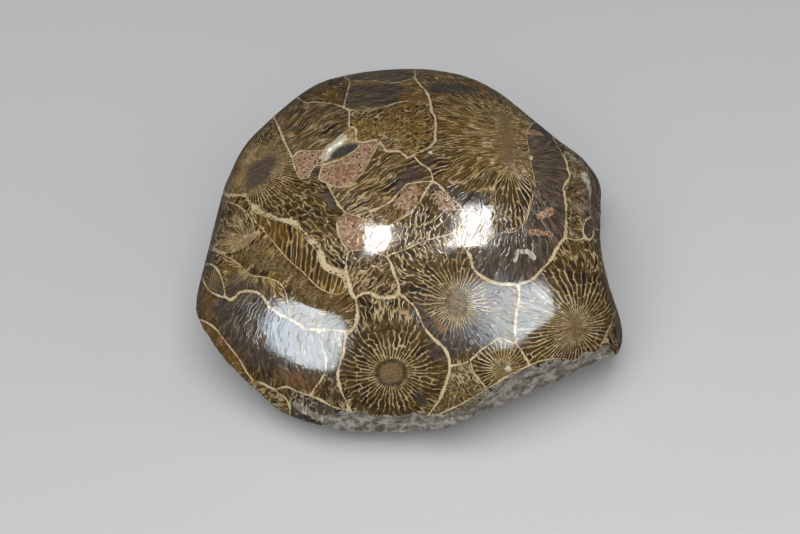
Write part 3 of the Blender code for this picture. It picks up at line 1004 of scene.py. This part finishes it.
def septa_colour(n, c):
    """The colour of the septa, the pores between them, and the plain stone in the middle of a cell."""
    strength = n.math("MULTIPLY", c.ochre, n.ramp(c.cloud, 0.36, 0.60, 0.1, 1.6), clamp=True)
    septum = n.blend(strength, TAN, YELLOW)
    septum = n.blend(n.ramp(n.plus(c.streak, n.times(n.minus(c.mottle, 0.5), 0.7)), 0.32, 0.62, 0.75, 0.0), septum, FILL)
    septum = n.blend(n.ramp(c.patch[2], 0.48, 0.68, 0.0, 0.65), septum, CREAM)
    deep = n.blend(n.ramp(c.streak, 0.45, 0.75), PORE, BROWN)
    hollow = n.blend(c.opened, n.blend(c.mottle, BROWN, FILL), deep)
    hollow = n.blend(n.times(strength, n.ramp(c.kind, 0.35, 0.60, 0.15, 0.90)), hollow, OCHRE)
    hollow = n.blend(n.times(c.thread, n.ramp(c.mottle, 0.35, 0.65, 0.15, 0.75)), hollow, FILL)
    pit = n.times(n.ramp(c.kind, 0.70, 0.80), n.ramp(c.side, 0.10, 0.22))
    hollow = n.blend(n.times(n.times(pit, c.opened), 0.85), hollow, BLACK_AND_VUG_SHADE)
    colour = n.blend(n.times(c.halo, 0.50), hollow, n.blend(strength, UMBER, YELLOW_UMBER))
    colour = n.blend(c.septum, colour, septum)
    plain = n.blend(n.ramp(n.plus(c.mottle, n.times(n.minus(c.speckle, 0.5), 0.7)), 0.38, 0.58), BROWN, PLAIN)
    plain = n.blend(n.times(c.septum, n.ramp(c.streak, 0.42, 0.66, 0.1, 0.8)), plain, septum)
    return n.blend(c.in_fringe, plain, colour)


def core_colour(n, c, colour):
    """The speckled core, which fades into its septa, and the dark ring that some have."""
    core = n.blend(n.ramp(c.speckle, 0.36, 0.64), CORE_DARK, CORE_LIGHT)
    distance = n.plus(c.radius, n.times(n.minus(c.patch[1], 0.5), 0.9))
    soft = n.plus(0.15, n.times(n.minus(1.0, c.ring), 0.9))
    colour = n.blend(n.ramp(distance, n.minus(c.core_size, soft), n.plus(c.core_size, soft), 1.0, 0.0), colour, core)
    beside = n.math("ABSOLUTE", n.minus(distance, n.plus(c.core_size, 0.3)))
    return n.blend(n.times(n.ramp(beside, 0.1, 0.6, 0.75, 0.0), c.ring), colour, PORE)


def stained_colour(n, c, colour):
    """Rust, then dark grey with faint lines, then pink with black dots, then pale crystals."""
    ragged = n.plus(n.times(n.minus(c.patch[0], 0.5), 1.6), n.times(n.minus(c.mottle, 0.5), 1.0))
    rust_share = n.plus(c.rust_spot, ragged)
    rust = n.blend(n.ramp(n.plus(c.mottle, n.times(n.minus(c.streak, 0.5), 1.5)), 0.30, 0.70), RUST, RUST_PALE)
    colour = n.blend(n.times(n.ramp(rust_share, 0.30, 0.80), n.ramp(c.streak, 0.35, 0.60, 0.45, 0.9)), colour, rust)
    gloom = n.plus(n.plus(c.dark, c.dark_spot), n.times(n.minus(c.patch[1], 0.5), 1.0))
    gloom = n.plus(gloom, n.times(n.minus(c.streak, 0.5), 1.0))
    gloom = n.plus(gloom, n.times(n.minus(c.cloud, 0.5), 0.8))
    lines = n.times(c.septum, n.ramp(c.streak, 0.42, 0.68, 0.05, 0.9))
    grey = n.blend(lines, n.blend(n.ramp(c.streak, 0.35, 0.65), GREY, GREY_PALE), GREY_LINE)
    colour = n.blend(n.ramp(gloom, 0.28, 0.80, 0.0, 0.92), colour, grey)
    blush = n.plus(n.plus(c.pink, c.pink_spot), n.times(ragged, 0.7))
    grain = n.plus(n.plus(c.mottle, n.times(n.minus(c.speckle, 0.5), 0.5)), n.times(n.minus(c.cloud, 0.5), 0.5))
    rosy = n.blend(n.ramp(grain, 0.36, 0.60), PINK, PINK_PALE)
    dots = n.noise(c.spot, 0.42, detail=1).outputs["Fac"]
    rosy = n.blend(n.ramp(n.plus(dots, n.times(n.minus(c.cloud, 0.5), 0.45)), 0.63, 0.67), rosy, BLACK_AND_VUG_SHADE)
    colour = n.blend(n.ramp(blush, 0.36, 0.62, 0.0, 0.95), colour, rosy)
    fibres = n.plus(c.streak, n.times(n.minus(c.mottle, 0.5), 0.7))
    band = n.blend(n.ramp(fibres, 0.35, 0.65), BAND_DARK, BAND_PALE)
    colour = n.blend(n.ramp(n.plus(c.pale, n.times(ragged, 0.8)), 0.38, 0.62), colour, band)
    chalk = n.blend(n.ramp(c.mottle, 0.35, 0.65), CREAM, CHALK)
    crystals = n.ramp(n.plus(c.pale_spot, n.times(ragged, 0.7)), 0.40, 0.65)
    return n.blend(n.times(crystals, n.minus(1.0, n.times(c.hollow, 0.7))), colour, chalk)


def coral_colour(n, c):
    """The colour of the polished coral at every place, with painted shade inside the vug."""
    colour = stained_colour(n, c, core_colour(n, c, septa_colour(n, c)))
    colour = n.blend(c.wall_shade, colour, PORE)
    tint = n.ramp(n.plus(c.cloud, n.times(n.minus(c.mottle, 0.5), 0.7)), 0.30, 0.56, 0.15, 1.0)
    wall = n.blend(n.times(c.wall_heart, tint), TAN, CREAM)
    colour = n.blend(c.wall_line, colour, wall)
    # Painted shade: the vug's hollow is painted near black, standing in for the shade inside its opening.
    inside = n.plus(c.vug, n.times(n.minus(c.mottle, 0.5), n.ramp(c.vug, 0.0, 0.2, 0.0, 0.6)))
    return n.blend(n.ramp(inside, 0.10, 0.40), colour, n.blend(n.ramp(c.speckle, 0.45, 0.75), BLACK_AND_VUG_SHADE, FILL))


def broken_colour(n, c, colour):
    """Broken stone: flaky, grey and cream, with the coral showing faintly through."""
    flaky = n.noise(c.spot, 1.6, detail=5, roughness=0.65).outputs["Fac"]
    stone = n.blend(n.ramp(flaky, 0.40, 0.62), ROUGH_DARK, ROUGH_STONE)
    share = n.ramp(n.plus(c.broken, n.times(n.minus(flaky, 0.5), 0.6)), 0.4, 0.6)
    return share, n.blend(share, colour, n.blend(0.25, stone, colour))


def make_material():
    """Polished coral: septa, pores, cores and walls, with the broken stone below."""
    material = bpy.data.materials.new("polished_coral")
    material.use_nodes = True
    tree = material.node_tree
    shader = tree.nodes["Principled BSDF"]
    n = Nodes(tree)
    c = CoralPattern(n)
    share, colour = broken_colour(n, c, coral_colour(n, c))
    n.feed(shader.inputs["Base Color"], colour)

    # A good polish, a little less so in the pores, and none where it is broken.
    gloss = n.plus(0.035, n.plus(n.times(c.hollow, 0.10), n.times(n.ramp(c.mottle, 0.45, 0.65), 0.05)))
    edgeways = n.add("ShaderNodeLayerWeight")
    gloss = n.plus(gloss, n.ramp(edgeways.outputs["Facing"], 0.70, 1.0, 0.0, 0.45))
    matt = n.math("MAXIMUM", share, n.ramp(c.vug, 0.05, 0.30))
    n.feed(shader.inputs["Roughness"], n.mix(matt, gloss, 0.8))

    fine = n.noise(c.spot, 0.35, detail=3, roughness=0.6).outputs["Fac"]
    height = n.minus(n.times(n.times(fine, share), 0.25), n.times(c.hollow, 0.012))
    bump = n.add("ShaderNodeBump")
    bump.inputs["Strength"].default_value = 1.0
    bump.inputs["Distance"].default_value = MM
    n.feed(bump.inputs["Height"], height)
    n.feed(shader.inputs["Normal"], bump.outputs["Normal"])
    return material


# ---------------------------------------------------------------- floor, lights and camera


WHITE = (1.0, 1.0, 1.0)
WINDOW_COLOUR = (0.80, 0.91, 1.0)
LIGHT_DISTANCE = 0.75


def make_floor():
    """A plain pale floor, under the stone and well past the view."""
    data = bpy.data.meshes.new("floor")
    half = 2.0
    data.from_pydata([(-half, -half, 0), (half, -half, 0), (half, half, 0), (-half, half, 0)], [], [(0, 1, 2, 3)])
    material = bpy.data.materials.new("pale_floor")
    material.use_nodes = True
    shader = material.node_tree.nodes["Principled BSDF"]
    shader.inputs["Base Color"].default_value = rgb(0.60, 0.60, 0.61)
    shader.inputs["Roughness"].default_value = 0.5
    data.materials.append(material)
    floor = bpy.data.objects.new("floor", data)
    floor.location = (0.0, 0.0, -0.0001)
    floor.visible_glossy = False
    bpy.context.collection.objects.link(floor)


# The lights: azimuth, elevation, width and height in metres, turn, brightness, colour, and what they
# show in. The matt ones light the stone's own colours, and the others show only in its polish.
LIGHTS = {
    "overhead": (-15, 66, 0.80, 0.80, 0, 2.9, WHITE, "matt"),
    "front_fill": (5, 28, 0.80, 0.50, 0, 0.9, WHITE, "matt"),
    "right_fill": (80, 25, 0.50, 0.50, 0, 0.9, WHITE, "matt"),
    "window_left": (-45, 17, 0.31, 0.53, -4, 16.0, WINDOW_COLOUR, "polish"),
    "window_right": (45, 45, 0.23, 0.17, 21, 16.0, WINDOW_COLOUR, "polish"),
    "box_left": (-129, 79, 0.09, 0.18, -3, 30.0, WHITE, "polish"),
    "box_right": (112, 72, 0.11, 0.44, 2, 30.0, WHITE, "polish"),
}


def add_light(name, azimuth, elevation, width, height, turn, brightness, colour, shows_in):
    """A softbox that looks at the stone."""
    data = bpy.data.lights.new(name, "AREA")
    data.shape = "RECTANGLE"
    data.size = width
    data.size_y = height
    data.energy = brightness * math.pi * width * height
    data.color = colour
    light = bpy.data.objects.new(name, data)
    out = Vector(facing(azimuth, elevation))
    light.location = out * LIGHT_DISTANCE
    side = (Vector(RIGHT) - out.x * out).normalized()
    side.rotate(Quaternion(out, math.radians(turn)))
    light.rotation_euler = Matrix((side, out.cross(side), out)).transposed().to_euler()
    light.visible_diffuse = shows_in == "matt"
    light.visible_glossy = shows_in == "polish"
    bpy.context.collection.objects.link(light)


def make_camera():
    """The camera, where the photograph was taken from."""
    data = bpy.data.cameras.new("camera")
    data.lens = LENS
    data.sensor_width = SENSOR
    data.shift_x = (PHOTO_WIDTH / 2 - TARGET_PIXEL[0]) / PHOTO_WIDTH
    data.shift_y = (TARGET_PIXEL[1] - PHOTO_HEIGHT / 2) / PHOTO_WIDTH
    data.clip_start = 0.01
    camera = bpy.data.objects.new("camera", data)
    camera.location = Vector(EYE)
    camera.rotation_euler = Vector(-BACK).to_track_quat("-Z", "Y").to_euler()
    bpy.context.collection.objects.link(camera)
    bpy.context.scene.camera = camera


def make_light():
    """Soft studio light: a dim even room, broad soft lights, and softboxes that the polish mirrors."""
    world = bpy.data.worlds.new("studio")
    world.use_nodes = True
    world.node_tree.nodes["Background"].inputs["Color"].default_value = rgb(0.90, 0.94, 1.0)
    world.node_tree.nodes["Background"].inputs["Strength"].default_value = 0.07
    bpy.context.scene.world = world
    for name, settings in LIGHTS.items():
        add_light(name, *settings)


stone = make_stone(make_material())
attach(stone, "root")
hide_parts("coral_head")

make_floor()
make_camera()
make_light()
bpy.context.scene.view_settings.view_transform = "Standard"
